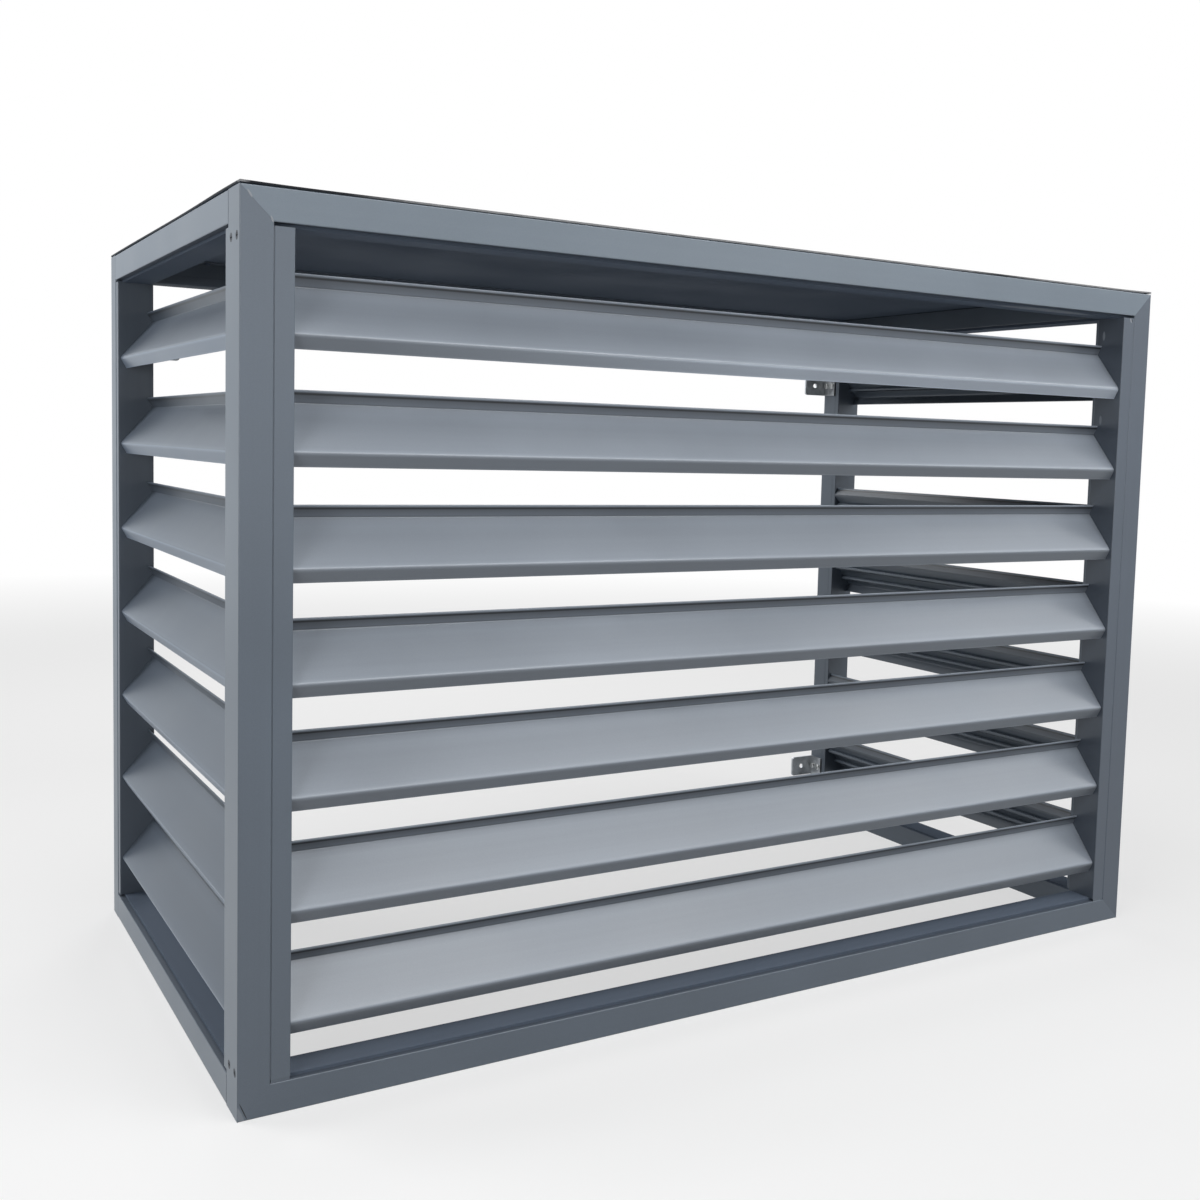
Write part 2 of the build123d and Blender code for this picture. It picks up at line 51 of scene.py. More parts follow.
camera_place = Vector((-0.847, -1.443, 0.594))
camera_yaw = -0.551
camera_pitch = -0.080
camera_roll = 0.028
focal_pixels = 1352.7
axis_pixel = (663.0, 553.2)
sensor_width = 36

# Lengths are in metres, and colours are linear.
white = (1, 1, 1, 1)
black = (0, 0, 0, 1)

# Sockets of Blender's colour mix node, by their places.
mix_factor = 0
mix_first = 6
mix_second = 7
mix_result = 2

# The values that noise mostly keeps to, and its usual detail.
noise_range = (0.3, 0.7)
noise_detail = 3.0
plain_ior = 1.5

# The powder coat, and how far its draw lines, clouds and flecks change its brightness.
coat_colour = (0.140, 0.170, 0.210, 1)
coat_roughness = (0.29, 0.36)
coat_ior = 1.58
gloss_range = (0.35, 0.65)
line_gloss_share = 0.1
line_spacing = 0.0060
line_length = 0.9
line_contrast = 0.015
cloud_spacing = 0.16
cloud_contrast = 0.05
fleck_spacing = 0.0007
fleck_detail = 1.0
fleck_contrast = 0.03
peel_spacing = 0.0014
peel_detail = 1.5
peel_height = 0.000012

# Painted shade, standing in for the shade where little light reaches: level faces of the frame, the
# head and sill strips, the underside of the sheet, and the webs of the jambs, which keep only a share
# of their brightness. A face counts as level or upright over a range of how far it faces along an
# axis.
painted_shade_colour = (0.120, 0.150, 0.198, 1)
level_shade_colour = (0.055, 0.070, 0.094, 1)
shaded_roughness = 0.8
shaded_roughness_swing = 0.08
shaded_specular = 0.12
level_faces = (0.75, 0.95)
upright_faces = (0.5, 0.9)
web_shade_share = 0.7

# Painted light and shade: how much lighter or darker the coat of some pieces came out, in red, green
# and blue.
plain_tint = (1.0, 1.0, 1.0)
# The filler's coat is painted a little darker, as painted shade in its joints.
filler_shade_tint = (0.9, 0.9, 0.9)
painted_light_tints = {
    "front_top_rail": (1.50, 1.50, 1.45),
    "front_blade": (2.05, 1.90, 1.78),
    "front_right": (0.80, 0.80, 0.82),
    "left_top_rail": (1.15, 1.15, 1.15),
    "left_blade": (0.72, 0.73, 0.76),
}

# Painted light and shade on a blade's coat, by the height above its lower edge: a dark nose under a
# painted highlight on the fold, an even slope, a painted dark crease at the foot of the back flange,
# and a painted shade groove under a painted highlight on the flange's rim.
blade_painted_light_bands = (
    (0.0000, 1.00),
    (0.0015, 0.72),
    (0.0120, 0.72),
    (0.0132, 1.20),
    (0.0165, 1.03),
    (0.0260, 0.98),
    (0.0400, 1.00),
    (0.0480, 1.08),
    (0.0525, 1.00),
    (0.0548, 0.80),
    (0.0556, 0.45),
    (0.0568, 0.74),
    (0.0600, 0.56),
    (0.0620, 0.46),
    (0.0628, 0.07),
    (0.0640, 0.07),
    (0.0647, 0.75),
    (0.0655, 1.30),
)

# Painted highlights on some noses, up to a height over which they fade. For each kind of blade: from
# where to where in X the gain grows, and how large it gets.
nose_highlight_height = (0.0118, 0.0128)
painted_nose_highlights = {"front_blade_1": (-0.45, 0.0, 2.3), "left_blade": (-0.58, -0.57, 3.2)}

# Pieces whose heads get the painted shade coat, as dark as the shade they sit in.
painted_shade_heads = ("cassette_screws", "top_rivets")

# Dust on the top sheet.
dust_colour = (0.42, 0.41, 0.38, 1)
dust_spacing = 0.048
dust_detail = 4.0
dust_range = (0.35, 0.75)
dust_shares = (0.02, 0.12)

# The sheet's cut edge is dark. Along the front it turns pale between two distances from the left
# corner, apart from a second dark place with a middle and a half width, which keeps a little of the
# pale colour. The left corner itself is pale, and that fades between two distances.
edge_colour = (0.018, 0.020, 0.024, 1)
pale_edge_colour = (0.30, 0.305, 0.315, 1)
dark_edge_length = (0.09, 0.16)
dark_edge_again = (0.86, 0.07)
least_paleness = 0.1
pale_corner = (0.004, 0.009)
edge_wear_spacing = 0.008
edge_shades = (0.85, 1.15)
edge_roughness = (0.60, 0.75)

# Bare and plated metals: the colour and roughness of each.
metals = {
    "mill_aluminium": ((0.78, 0.79, 0.80, 1), (0.30, 0.45)),
    "dark_oxide": ((0.05, 0.053, 0.06, 1), (0.35, 0.50)),
    "zinc_plate": ((0.62, 0.62, 0.60, 1), (0.25, 0.40)),
}
grain_spacing = 0.00035
grain_contrast = 0.08
grain_height = 0.000006
tarnish_spacing = 0.02
tarnish_shades = (0.88, 1.05)

# Galvanised steel.
zinc_colour = (0.50, 0.51, 0.52, 1)
spangle_size = 0.006
spangle_shades = (0.82, 1.08)
spangle_roughness = (0.34, 0.52)
zinc_wear_spacing = 0.012
zinc_wear_shades = (0.92, 1.05)
zinc_wear_height = 0.00002

# Moulded plastic.
plastic_colour = (0.03, 0.03, 0.034, 1)
plastic_grain_spacing = 0.0006
plastic_grain_height = 0.00005
plastic_roughness = (0.50, 0.65)
plastic_wear_spacing = 0.015
plastic_shades = (0.80, 1.25)

# The marks of the photograph: the corner each is measured from, its centre from there, its tilt
# in the plane of the front in degrees, its radii and its colour. A mark fades over its outer part.
# The marks' colours: the pale and light ones are mostly painted highlights, the dark one painted
# shade.
pale_mark_and_highlight = (0.36, 0.38, 0.41, 1)
light_mark_and_highlight = (0.27, 0.30, 0.34, 1)
dark_shade_mark = (0.020, 0.022, 0.026, 1)
mark_fade = (0.7, 1.0)
mark_table = (
    # A pale stroke on the mitre, partly rubbed paint and partly a painted highlight, painted
    # highlights at the inner corners, and a painted shade spot at the top of the right jamb.
    ("mitre", (0.0083, 0, -0.0075), 58, (0.0042, 0.0010, 0.0010), pale_mark_and_highlight),
    ("inner_corner", (-0.0019, 0, 0.0021), 69, (0.0032, 0.0010, 0.0009), pale_mark_and_highlight),
    ("jamb_end", (-0.0050, 0, -0.0030), 69, (0.0036, 0.0020, 0.0014), pale_mark_and_highlight),
    ("jamb_end", (-0.0028, 0, -0.0030), 69, (0.0024, 0.0020, 0.0009), dark_shade_mark),
    # The lower left corner: painted light for the lit side showing round the bend, and a painted shade
    # line.
    ("foot", (0.0020, 0, 0.0050), 67, (0.0150, 0.0010, 0.0030), light_mark_and_highlight),
    ("foot", (0.0052, 0, 0.0088), 67, (0.0100, 0.0010, 0.0006), dark_shade_mark),
    # A pale streak under the head, and two painted highlights in the web of the right jamb.
    ("head", (0.385, 0.006, 0), 0, (0.0900, 0.0100, 0.0020), light_mark_and_highlight),
    ("web", (0, -0.0095, 0.745), 0, (0.0010, 0.0022, 0.0065), light_mark_and_highlight),
    ("web", (0, -0.0110, 0.640), 0, (0.0010, 0.0022, 0.0065), light_mark_and_highlight),
)

# The top sheet's left and right sides rise a little from the frame: by how much, how far back from
# the front edge and over which length, and how far in from the side the rise fades.
sheet_rises = ((0.0011, 0.055, 0.10), (0.0006, 0.50, 0.16))
sheet_rise_fade = 0.07
sheet_cell = 0.02
sheet_bevel = 0.0003
sheet_corner = 0.0015
sheet_corner_cut = 0.0006

# The sheet's materials, by their places on its mesh.
top_place = 0
edge_place = 1
under_place = 2

# The filler in the front frame's joints: half its width and its depths in a mitre, and the width and
# the depths of the bead beside a post, which narrows to a share of its width.
mitre_fill = 0.00006
mitre_depths = (0.00007, 0.0013)
bead_width = 0.0005
bead_depths = (0.0007, 0.0013)
bead_narrow_share = 0.3
foot_clearance = 0.00005

# Studio: square lamps at one distance from the point they face, each at an azimuth (0 in front, 90 at
# the right) and an elevation in degrees, with a power in watts.
lamp_reach = 2.4
lamp_side = 0.9
lamp_aim = Vector((0.0, -0.15, 0.4))
lamps = {
    "low_left_lamp": (-60, 10, 12.6),
    "low_front_lamp": (0, 10, 2.3),
    "low_front_right_lamp": (30, 10, 3.1),
    "back_left_lamp": (-120, 32, 17.1),
    "right_lamp": (60, 32, 8.0),
    "main_lamp": (30, 44, 12.5),
    "front_lamp": (0, 42, 11.3),
    "high_back_left_lamp": (-120, 76, 10.7),
    "high_left_lamp": (-60, 76, 10.5),
    "back_lamp": (170, 28, 12.0),
}
glossy_sky = (0.88, 0.94, 1.0, 1)

# The floor: the grey that light bounces from and the grey that is seen, and between which distances
# and shares it turns white.
floor_side = 60
floor_bounce = (0.22, 0.22, 0.22, 1)
floor_colour = (0.86, 0.86, 0.86, 1)
floor_fade = (1.2, 4.5)
floor_glow = (0.6, 1.0)


def node(tree, kind, values=None, **settings):
    """Adds a node. Each value is a plain value for a socket, or the output that feeds it."""
    made = tree.nodes.new(kind)
    for name, value in settings.items():
        setattr(made, name, value)
    for socket, value in (values or {}).items():
        if isinstance(value, bpy.types.NodeSocket):
            tree.links.new(value, made.inputs[socket])
        else:
            made.inputs[socket].default_value = value
    return made


def noise(tree, vector, scale, detail=noise_detail):
    values = {"Vector": vector, "Scale": scale, "Detail": detail}
    return node(tree, "ShaderNodeTexNoise", values).outputs["Fac"]


def ramp(tree, value, low, high, to_low, to_high):
    """Maps one range onto another, clamped."""
    values = {"Value": value, "From Min": low, "From Max": high, "To Min": to_low, "To Max": to_high}
    return node(tree, "ShaderNodeMapRange", values).outputs["Result"]


def spread(tree, value, low, high):
    """Maps the range of noise onto another."""
    return ramp(tree, value, *noise_range, low, high)


def calculate(tree, operation, first, second):
    return node(tree, "ShaderNodeMath", {0: first, 1: second}, operation=operation).outputs[0]


def coordinate(tree, vector, axis):
    return node(tree, "ShaderNodeSeparateXYZ", {0: vector}).outputs[axis]


def mix_colour(tree, factor, first, second):
    values = {mix_factor: factor, mix_first: first, mix_second: second}
    return node(tree, "ShaderNodeMix", values, data_type="RGBA").outputs[mix_result]


def shade(tree, colour, factor):
    """Multiplies a colour's brightness by a factor that varies over the surface."""
    values = {"Value": factor, "Color": colour}
    return node(tree, "ShaderNodeHueSaturation", values).outputs["Color"]


def follow(tree, value, stops):
    """A factor that follows stops, each a value and the factor there.

    A ramp's colours end at 1, so it holds half of each factor.
    """
    first = stops[0][0]
    last = stops[-1][0]
    made = node(tree, "ShaderNodeValToRGB", {"Fac": ramp(tree, value, first, last, 0, 1)})
    elements = made.color_ramp.elements
    for place, factor in stops:
        share = (place - first) / (last - first)
        if share in (0, 1):
            element = elements[0 if share == 0 else -1]
        else:
            element = elements.new(share)
        element.color = (factor / 2, factor / 2, factor / 2, 1)
    return calculate(tree, "MULTIPLY", made.outputs["Color"], 2)


def spot(tree, place, centre, turn, radii):
    """1 inside an ellipsoid with a soft rim, 0 outside it."""
    values = {"Vector": place, "Location": centre, "Rotation": turn, "Scale": radii}
    local = node(tree, "ShaderNodeMapping", values, vector_type="TEXTURE").outputs[0]
    distance = node(tree, "ShaderNodeVectorMath", {0: local}, operation="LENGTH").outputs["Value"]
    return ramp(tree, distance, *mark_fade, 1, 0)


def stretched(tree, place, along, spacing, length):
    """Coordinates that run slowly along one axis and fast across it."""
    scale = [1 / spacing] * 3
    scale[along] = 1 / length
    return node(tree, "ShaderNodeMapping", {"Vector": place, "Scale": scale}).outputs[0]


def relief(tree, height, distance):
    """A bump from a height that runs from 0 to 1."""
    values = {"Height": height, "Distance": distance, "Strength": 1}
    return node(tree, "ShaderNodeBump", values).outputs["Normal"]


def facing(tree, axis):
    """How far a surface faces along an axis, either way: 1 square to it, 0 along it."""
    normal = node(tree, "ShaderNodeNewGeometry").outputs["True Normal"]
    return calculate(tree, "ABSOLUTE", coordinate(tree, normal, axis), 0)


def start_material(name, metallic=0.0, ior=plain_ior):
    """A material whose shader is ready, with its object coordinates."""
    material = bpy.data.materials.new(name)
    material.use_nodes = True
    tree = material.node_tree
    shader = tree.nodes["Principled BSDF"]
    shader.inputs["Metallic"].default_value = metallic
    shader.inputs["IOR"].default_value = ior
    place = node(tree, "ShaderNodeTexCoord").outputs["Object"]
    return material, tree, shader, place


def finish_material(tree, shader, colour, roughness, normal=None):
    """Feeds the shader what varies over the surface."""
    tree.links.new(colour, shader.inputs["Base Color"])
    tree.links.new(roughness, shader.inputs["Roughness"])
    if normal is not None:
        tree.links.new(normal, shader.inputs["Normal"])


def coat_brightness(tree, place, along):
    """The faint draw lines, clouds and flecks of a coated extrusion, as a factor about 1.

    Gives the lines and the clouds too.
    """
    lines = noise(tree, stretched(tree, place, along, line_spacing, line_length), 1.0)
    clouds = noise(tree, place, 1 / cloud_spacing)
    flecks = noise(tree, place, 1 / fleck_spacing, fleck_detail)
    streaks = spread(tree, lines, -line_contrast, line_contrast)
    total = calculate(tree, "ADD", streaks, spread(tree, clouds, -cloud_contrast, cloud_contrast))
    total = calculate(tree, "ADD", total, spread(tree, flecks, 1 - fleck_contrast, 1 + fleck_contrast))
    return total, lines, clouds


def coat_gloss(tree, place, lines, clouds):
    """The roughness of a powder coat, and the bump of its fine orange peel."""
    from_lines = calculate(tree, "MULTIPLY", lines, line_gloss_share)
    from_clouds = calculate(tree, "MULTIPLY", clouds, 1 - line_gloss_share)
    gloss = calculate(tree, "ADD", from_lines, from_clouds)
    peel = noise(tree, place, 1 / peel_spacing, peel_detail)
    return ramp(tree, gloss, *gloss_range, *coat_roughness), relief(tree, peel, peel_height)


def add_marks_and_painted_light(tree, place, colour):
    """Lays the small marks over a colour, painted highlights and shade and some rubbed paint. Gives
    where they are.
    """
    marked = 0
    for centre, turn, radii, mark_colour in marks:
        mask = spot(tree, place, centre, turn, radii)
        colour = mix_colour(tree, mask, colour, mark_colour)
        marked = calculate(tree, "MAXIMUM", mask, marked)
    return colour, marked


def add_painted_light_bands(tree, place, colour, lit):
    """Paints light and shade into a blade's coat by its height, and paints a highlight on its nose."""
    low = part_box("front_blade_7")[0][2]
    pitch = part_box("front_blade_6")[0][2] - low
    above = calculate(tree, "SUBTRACT", coordinate(tree, place, "Z"), low)
    height = calculate(tree, "MODULO", above, pitch)
    colour = shade(tree, colour, follow(tree, height, blade_painted_light_bands))
    if lit:
        start, end, gain = lit
        along = ramp(tree, coordinate(tree, place, "X"), start, end, 0, 1)
        share = calculate(tree, "MULTIPLY", along, ramp(tree, height, *nose_highlight_height, 1, 0))
        colour = shade(tree, colour, ramp(tree, share, 0, 1, 1, gain))
    return colour


def powder_coat(name, along, light_and_shade_tint, shaded=False, banded=False, lit=None, web=None):
    """Satin powder coat on an extrusion that runs along one axis.

    Where it can take shade, its level faces are dull and painted with a dark shade colour, the faces
    square to the axis given as web are painted darker as shade, and it has the marks, mostly painted
    highlights and shade. Where it is banded, painted light and shade follow the section of the blades,
    which are all at the same heights.
    """
    material, tree, shader, place = start_material(name, ior=coat_ior)
    brightness, lines, clouds = coat_brightness(tree, place, along)
    base = tuple(channel * gain for channel, gain in zip(coat_colour, light_and_shade_tint)) + (1,)
    colour = shade(tree, base, brightness)
    roughness, normal = coat_gloss(tree, place, lines, clouds)
    if banded:
        colour = add_painted_light_bands(tree, place, colour, lit)
    if shaded:
        # Painted shade: webs keep a share of their brightness, level faces take a dark shade colour,
        # and the marks add painted highlights and shade.
        if web:
            colour = shade(tree, colour, ramp(tree, facing(tree, web), *upright_faces, 1, web_shade_share))
        level = ramp(tree, facing(tree, "Z"), *level_faces, 0, 1)
        colour = mix_colour(tree, level, colour, shade(tree, level_shade_colour, brightness))
        colour, marked = add_marks_and_painted_light(tree, place, colour)
        level = calculate(tree, "MAXIMUM", level, marked)
        roughness = ramp(tree, level, 0, 1, roughness, shaded_roughness)
    finish_material(tree, shader, colour, roughness, normal)
    return material


def painted_shade_coat(name, along):
    """The same coat, dull and painted with a dark shade colour, for places out of the light."""
    material, tree, shader, place = start_material(name, ior=coat_ior)
    brightness, lines, clouds = coat_brightness(tree, place, along)
    colour, _ = add_marks_and_painted_light(tree, place, shade(tree, painted_shade_colour, brightness))
    smoothest = shaded_roughness - shaded_roughness_swing
    roughest = shaded_roughness + shaded_roughness_swing
    roughness = spread(tree, clouds, smoothest, roughest)
    finish_material(tree, shader, colour, roughness, relief(tree, lines, peel_height))
    shader.inputs["Specular IOR Level"].default_value = shaded_specular
    return material


def sheet_top(name):
    """The upper face of the top sheet, with settled dust."""
    material, tree, shader, place = start_material(name, ior=coat_ior)
    brightness, lines, clouds = coat_brightness(tree, place, 0)
    dust = ramp(tree, noise(tree, place, 1 / dust_spacing, dust_detail), *dust_range, *dust_shares)
    colour = mix_colour(tree, dust, shade(tree, coat_colour, brightness), dust_colour)
    finish_material(tree, shader, colour, *coat_gloss(tree, place, lines, clouds))
    return material


def sheet_edge(name):
    """The cut edge of the top sheet, near black except where its front turns pale."""
    material, tree, shader, place = start_material(name, ior=coat_ior)
    low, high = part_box("top_sheet")
    across = coordinate(tree, place, "X")
    start, end = dark_edge_length
    pale_share = ramp(tree, across, low[0] + start, low[0] + end, 0, 1)
    middle, half = dark_edge_again
    past_middle = calculate(tree, "SUBTRACT", across, low[0] + middle)
    from_middle = calculate(tree, "ABSOLUTE", past_middle, 0)
    pale_share = calculate(tree, "MINIMUM", pale_share, ramp(tree, from_middle, 0, half, least_paleness, 1))
    pale_share = calculate(tree, "MULTIPLY", pale_share, ramp(tree, facing(tree, "Y"), *upright_faces, 0, 1))
    colour = mix_colour(tree, pale_share, edge_colour, pale_edge_colour)
    values = {0: place, 1: (low[0], low[1], high[2])}
    distance = node(tree, "ShaderNodeVectorMath", values, operation="DISTANCE").outputs["Value"]
    colour = mix_colour(tree, ramp(tree, distance, *pale_corner, 1, 0), colour, pale_edge_colour)
    wear = noise(tree, place, 1 / edge_wear_spacing)
    colour = shade(tree, colour, spread(tree, wear, *edge_shades))
    finish_material(tree, shader, colour, spread(tree, wear, *edge_roughness))
    shader.inputs["Specular IOR Level"].default_value = shaded_specular
    return material


def bare_metal(name):
    """Bare or plated metal with a fine grain and a little tarnish."""
    material, tree, shader, place = start_material(name, metallic=1.0)
    colour, roughness = metals[name]
    grain = noise(tree, place, 1 / grain_spacing)
    tarnish = noise(tree, place, 1 / tarnish_spacing)
    grain_shade = spread(tree, grain, -grain_contrast, grain_contrast)
    brightness = calculate(tree, "ADD", grain_shade, spread(tree, tarnish, *tarnish_shades))
    colour = shade(tree, colour, brightness)
    roughness = spread(tree, tarnish, *roughness)
    finish_material(tree, shader, colour, roughness, relief(tree, grain, grain_height))
    return material


def zinc_sheet(name):
    """Galvanised steel with its crystal spangle."""
    material, tree, shader, place = start_material(name, metallic=1.0)
    spangle = node(tree, "ShaderNodeTexVoronoi", {"Vector": place, "Scale": 1 / spangle_size})
    tone = node(tree, "ShaderNodeSeparateColor", {0: spangle.outputs["Color"]}).outputs[0]
    wear = noise(tree, place, 1 / zinc_wear_spacing)
    spangle_shade = ramp(tree, tone, 0, 1, *spangle_shades)
    brightness = calculate(tree, "MULTIPLY", spangle_shade, spread(tree, wear, *zinc_wear_shades))
    colour = shade(tree, zinc_colour, brightness)
    roughness = ramp(tree, tone, 0, 1, *spangle_roughness)
    finish_material(tree, shader, colour, roughness, relief(tree, wear, zinc_wear_height))
    return material


def moulded_plastic(name):
    """Black moulded plastic with a fine spark texture."""
    material, tree, shader, place = start_material(name)
    grain = noise(tree, place, 1 / plastic_grain_spacing)
    wear = noise(tree, place, 1 / plastic_wear_spacing)
    colour = shade(tree, plastic_colour, spread(tree, wear, *plastic_shades))
    roughness = spread(tree, grain, *plastic_roughness)
    finish_material(tree, shader, colour, roughness, relief(tree, grain, plastic_grain_height))
    return material


def link(thing):
    bpy.context.collection.objects.link(thing)


def make_camera():
    cosine = math.cos(camera_pitch)
    forward = Vector(
        (-math.sin(camera_yaw) * cosine, math.cos(camera_yaw) * cosine, math.sin(camera_pitch))
    )
    level = Vector((math.cos(camera_yaw), math.sin(camera_yaw), 0))
    upright = level.cross(forward)
    across = math.cos(camera_roll) * level + math.sin(camera_roll) * upright
    up = -math.sin(camera_roll) * level + math.cos(camera_roll) * upright
    data = bpy.data.cameras.new("camera")
    data.sensor_width = sensor_width
    data.lens = sensor_width * focal_pixels / frame_pixels
    data.shift_x = 1 / 2 - axis_pixel[0] / frame_pixels
    data.shift_y = axis_pixel[1] / frame_pixels - 1 / 2
    camera = bpy.data.objects.new("camera", data)
    turn = Matrix((across, up, -forward)).transposed()
    camera.matrix_world = Matrix.Translation(camera_place) @ turn.to_4x4()
    link(camera)
    bpy.context.scene.camera = camera


def make_lamps():
    for name, (azimuth, elevation, power) in lamps.items():
        turn = math.radians(azimuth)
        rise = math.radians(elevation)
        flat = math.cos(rise)
        outward = Vector((math.sin(turn) * flat, -math.cos(turn) * flat, math.sin(rise)))
        data = bpy.data.lights.new(name, "AREA")
        data.shape = "SQUARE"
        data.size = lamp_side
        data.energy = power
        lamp = bpy.data.objects.new(name, data)
        lamp.location = lamp_aim + outward * lamp_reach
        lamp.rotation_mode = "QUATERNION"
        lamp.rotation_quaternion = (-outward).to_track_quat("-Z", "Y")
        link(lamp)


def seen_directly(tree):
    """1 for camera, glossy and transmission rays, 0 for the light that bounces."""
    path = node(tree, "ShaderNodeLightPath")
    seen = calculate(tree, "MAXIMUM", path.outputs["Is Camera Ray"], path.outputs["Is Glossy Ray"])
    return calculate(tree, "MAXIMUM", seen, path.outputs["Is Transmission Ray"])


def sky(tree):
    """White, and faintly blue in reflections."""
    glossy = node(tree, "ShaderNodeLightPath").outputs["Is Glossy Ray"]
    return mix_colour(tree, glossy, white, glossy_sky)


def make_world():
    """The sky where it is seen. It gives no light of its own."""
    world = bpy.data.worlds.new("studio")
    world.use_nodes = True
    tree = world.node_tree
    colour = mix_colour(tree, seen_directly(tree), black, sky(tree))
    tree.links.new(colour, tree.nodes["Background"].inputs["Color"])
    bpy.context.scene.world = world


def make_floor():
    """A pale floor that fades into the white background and keeps the object's shadow."""
    mesh = bmesh.new()
    bmesh.ops.create_grid(mesh, x_segments=1, y_segments=1, size=floor_side / 2)
    data = bpy.data.meshes.new("floor")
    mesh.to_mesh(data)
    mesh.free()
    floor = bpy.data.objects.new("floor", data)
    link(floor)
    material = bpy.data.materials.new("floor")
    material.use_nodes = True
    tree = material.node_tree
    tree.nodes.remove(tree.nodes["Principled BSDF"])
    place = node(tree, "ShaderNodeTexCoord").outputs["Object"]
    distance = node(tree, "ShaderNodeVectorMath", {0: place}, operation="LENGTH").outputs["Value"]
    glow = ramp(tree, distance, *floor_fade, *floor_glow)
    lit = node(tree, "ShaderNodeBsdfDiffuse", {"Color": floor_colour}).outputs[0]
    white_out = node(tree, "ShaderNodeEmission", {"Color": sky(tree), "Strength": 1}).outputs[0]
    shown = node(tree, "ShaderNodeMixShader", {0: glow, 1: lit, 2: white_out}).outputs[0]
    bounce = node(tree, "ShaderNodeBsdfDiffuse", {"Color": floor_bounce}).outputs[0]
    parts = {0: seen_directly(tree), 1: bounce, 2: shown}
    whole = node(tree, "ShaderNodeMixShader", parts).outputs[0]
    tree.links.new(whole, tree.nodes["Material Output"].inputs["Surface"])
    data.materials.append(material)


def rows(low, high):
    """Places along one side of the sheet: close together at the bevel and the corner, even between."""
    start = low + sheet_corner
    span = high - low - 2 * sheet_corner
    count = round(span / sheet_cell)
    middle = [start + span * place / count for place in range(count + 1)]
    return [low, low + sheet_bevel, *middle, high - sheet_bevel, high]


def sheet_rise(x, y, low, high):
    """How far the sheet stands off the frame at one place."""
    total = 0
    for height, behind, length in sheet_rises:
        total += height * math.exp(-(((y - low[1] - behind) / length) ** 2))
    from_side = min(x - low[0], high[0] - x)
    return total * max(0, 1 - from_side / sheet_rise_fade) ** 2


def sheet_layer(mesh, xs, ys, upper):
    """One face of the sheet, over its box. Gives its points by their place in the grid."""
    low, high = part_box("top_sheet")
    last_x = len(xs) - 1
    last_y = len(ys) - 1
    grid = {}
    for i, x in enumerate(xs):
        for j, y in enumerate(ys):
            at_x = i in (0, last_x)
            at_y = j in (0, last_y)
            inset = sheet_corner_cut if at_x and at_y else 0
            bevel = sheet_bevel if at_x or at_y else 0
            point_x = x + (inset if i == 0 else -inset)
            point_y = y + (inset if j == 0 else -inset)
            z = high[2] - bevel if upper else low[2] + bevel
            grid[i, j] = mesh.verts.new((point_x, point_y, z + sheet_rise(x, y, low, high)))
    for i in range(last_x):
        for j in range(last_y):
            ring = [grid[i, j], grid[i + 1, j], grid[i + 1, j + 1], grid[i, j + 1]]
            face = mesh.faces.new(ring if upper else ring[::-1])
            rim = i in (0, last_x - 1) or j in (0, last_y - 1)
            face.material_index = edge_place if rim else (top_place if upper else under_place)
            face.smooth = not rim
    return grid


def make_sheet():
    """The top sheet: bevelled edges, cut corners, and a left and right side that rise a little."""
    low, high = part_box("top_sheet")
    xs = rows(low[0], high[0])
    ys = rows(low[1], high[1])
    last_x = len(xs) - 1
    last_y = len(ys) - 1
    mesh = bmesh.new()
    under = sheet_layer(mesh, xs, ys, False)
    upper = sheet_layer(mesh, xs, ys, True)
    border = [(i, 0) for i in range(last_x)]
    border += [(last_x, j) for j in range(last_y)]
    border += [(i, last_y) for i in range(last_x, 0, -1)]
    border += [(0, j) for j in range(last_y, 0, -1)]
    for start, end in zip(border, border[1:] + border[:1]):
        face = mesh.faces.new((under[start], under[end], upper[end], upper[start]))
        face.material_index = edge_place
    data = bpy.data.meshes.new("bowed_sheet")
    mesh.to_mesh(data)
    mesh.free()
    # The sheet's underside takes the painted shade coat.
    finishes = (sheet_top("sheet_top"), sheet_edge("sheet_edge"), painted_shade_coat("sheet_underside", 0))
    for material in finishes:
        data.materials.append(material)
    sheet = bpy.data.objects.new("bowed_sheet", data)
    link(sheet)
    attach(sheet, "top")
    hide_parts("top_sheet")


def prism(mesh, outline, axis, low, high):
    """A straight bar: an outline in the two other axes, run along one axis."""
    rings = []
    for along in (low, high):
        ring = []
        for first, second in outline:
            point = [first, second]
            point.insert(axis, along)
            ring.append(mesh.verts.new(point))
        rings.append(ring)
    start, end = rings
    mesh.faces.new(start)
    mesh.faces.new(end[::-1])
    for place in range(len(outline)):
        after = (place + 1) % len(outline)
        mesh.faces.new((start[after], start[place], end[place], end[after]))


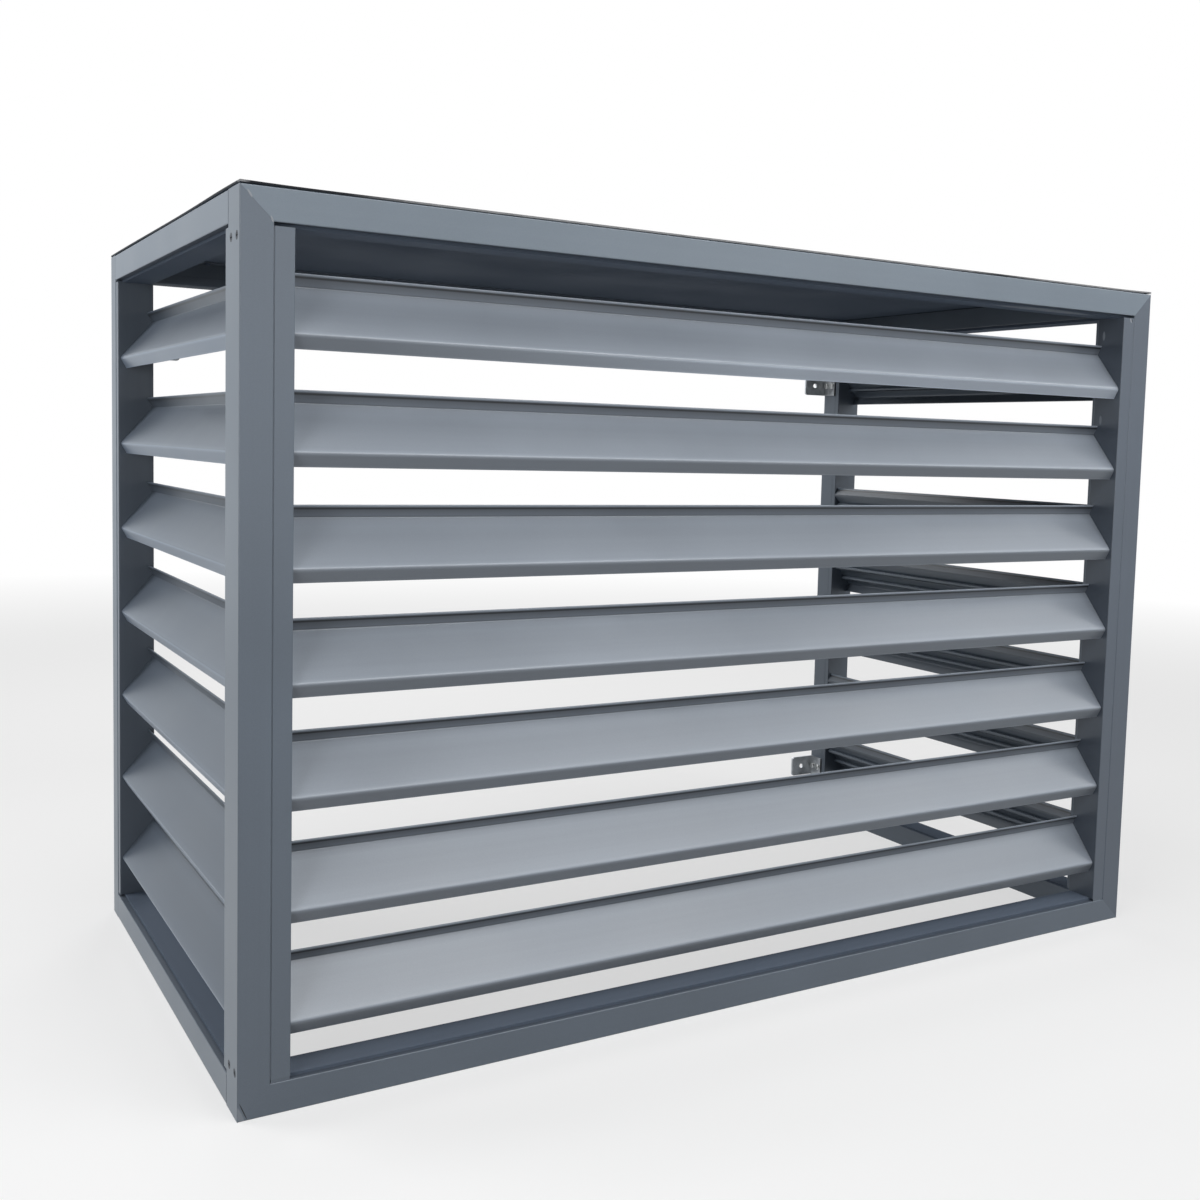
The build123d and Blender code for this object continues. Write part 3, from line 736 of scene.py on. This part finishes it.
def make_filler():
    """Coat that bridges the four front mitres, and a fine bead by each front post and jamb."""
    post_low, post_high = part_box("front_left_post")
    jamb_low, jamb_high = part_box("front_left_jamb")
    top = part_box("front_top_rail")[1][2]
    side, front, _ = post_low
    face = post_high[0] - side
    inner_edge = side + face
    jamb_width = jamb_high[0] - jamb_low[0]
    shallow, deep = (front + depth for depth in bead_depths)
    mesh = bmesh.new()
    for turn in (1, -1):
        for outer, inner in ((0, face), (top, top - face)):
            ends = [(turn * (side + mitre_fill), outer), (turn * inner_edge, inner)]
            outline = [(x - mitre_fill, z) for x, z in ends]
            outline += [(x + mitre_fill, z) for x, z in ends[::-1]]
            prism(mesh, outline, 1, *(front + depth for depth in mitre_depths))
        bead = [(0, shallow), (bead_width, shallow), (bead_width * bead_narrow_share, deep), (0, deep)]
        outline = [(turn * (inner_edge + across), y) for across, y in bead]
        prism(mesh, outline, 2, jamb_low[2], jamb_high[2])
        start, end = sorted((turn * (inner_edge + bead_width), turn * (inner_edge + jamb_width)))
        outline = [(start, shallow), (end, shallow), (end, deep), (start, deep)]
        prism(mesh, outline, 2, face + foot_clearance, jamb_low[2] - foot_clearance)
    bmesh.ops.recalc_face_normals(mesh, faces=mesh.faces)
    data = bpy.data.meshes.new("joint_filler")
    mesh.to_mesh(data)
    mesh.free()
    data.materials.append(powder_coat("filler_coat", 2, filler_shade_tint))
    filler = bpy.data.objects.new("joint_filler", data)
    link(filler)
    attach(filler, "screen")


def list_marks():
    """The centre, turn, radii and colour of each mark."""
    post_low, post_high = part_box("front_left_post")
    rail_low, rail_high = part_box("front_top_rail")
    jamb_low, jamb_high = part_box("front_right_jamb")
    head_low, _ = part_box("front_head")
    side, front, _ = post_low
    corners = {
        "mitre": (side, front, rail_high[2]),
        "inner_corner": (post_high[0], front, rail_low[2]),
        "jamb_end": (jamb_high[0], front, jamb_high[2]),
        "foot": (side, front, 0),
        "head": (0, head_low[1], head_low[2]),
        "web": (jamb_low[0], jamb_high[1], 0),
    }
    listed = []
    for corner, offset, tilt, radii, colour in mark_table:
        centre = tuple(a + b for a, b in zip(corners[corner], offset))
        listed.append((centre, (0, math.radians(tilt), 0), radii, colour))
    return listed


def by_start(table, name, otherwise):
    """The value of the first entry that a name starts with."""
    return next((value for start, value in table.items() if name.startswith(start)), otherwise)


def coat_of(name, slot, coats):
    """The coat of one extrusion, which runs along its longest side. Pieces with one coat share it."""
    low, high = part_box(name)
    sides = [b - a for a, b in zip(low, high)]
    along = sides.index(max(sides))
    strip = name.endswith(("_head", "_sill"))
    # The painted light or shade of the piece's coat.
    light_and_shade_tint = by_start(painted_light_tints, name, plain_tint)
    # A painted highlight on the nose, for some blades.
    lit = by_start(painted_nose_highlights, name, None)
    web = None
    if name.endswith("_jamb"):
        web = "X" if name.startswith("front") else "Y"
    key = (slot, along, strip, light_and_shade_tint, lit, web)
    if key not in coats:
        label = f"{slot}_{'xyz'[along]}_{len(coats)}"
        # The head and sill strips take the painted shade coat.
        if strip:
            coats[key] = painted_shade_coat(label, along)
        else:
            framed = slot == "frame_coat"
            coats[key] = powder_coat(label, along, light_and_shade_tint, framed, slot == "blade_coat", lit, web)
    return coats[key]


def finish_nodes():
    """Gives every CAD node the finish of its slot."""
    slots = {part["node"]: part["material_slot"] for part in frame["record"]["subparts"]}
    plain = {
        "sheet_coat": sheet_top("sheet_coat"),
        "bare_aluminium": bare_metal("mill_aluminium"),
        "dark_screw": bare_metal("dark_oxide"),
        "zinc_screw": bare_metal("zinc_plate"),
        "bracket_steel": zinc_sheet("galvanised_steel"),
        "plug_plastic": moulded_plastic("moulded_plastic"),
    }
    # Screw heads and rivets take the painted shade coat.
    dull = painted_shade_coat("head_painted_shade_coat", 2)
    coats = {}
    for name, piece in frame["nodes"].items():
        slot = slots[name]
        if name in painted_shade_heads:
            material = dull
        elif slot in plain:
            material = plain[slot]
        else:
            material = coat_of(name, slot, coats)
        piece.data.materials.clear()
        piece.data.materials.append(material)


scene = bpy.context.scene
scene.view_settings.view_transform = "Standard"
make_camera()
make_world()
make_lamps()
make_floor()
marks = list_marks()
finish_nodes()
make_sheet()
make_filler()
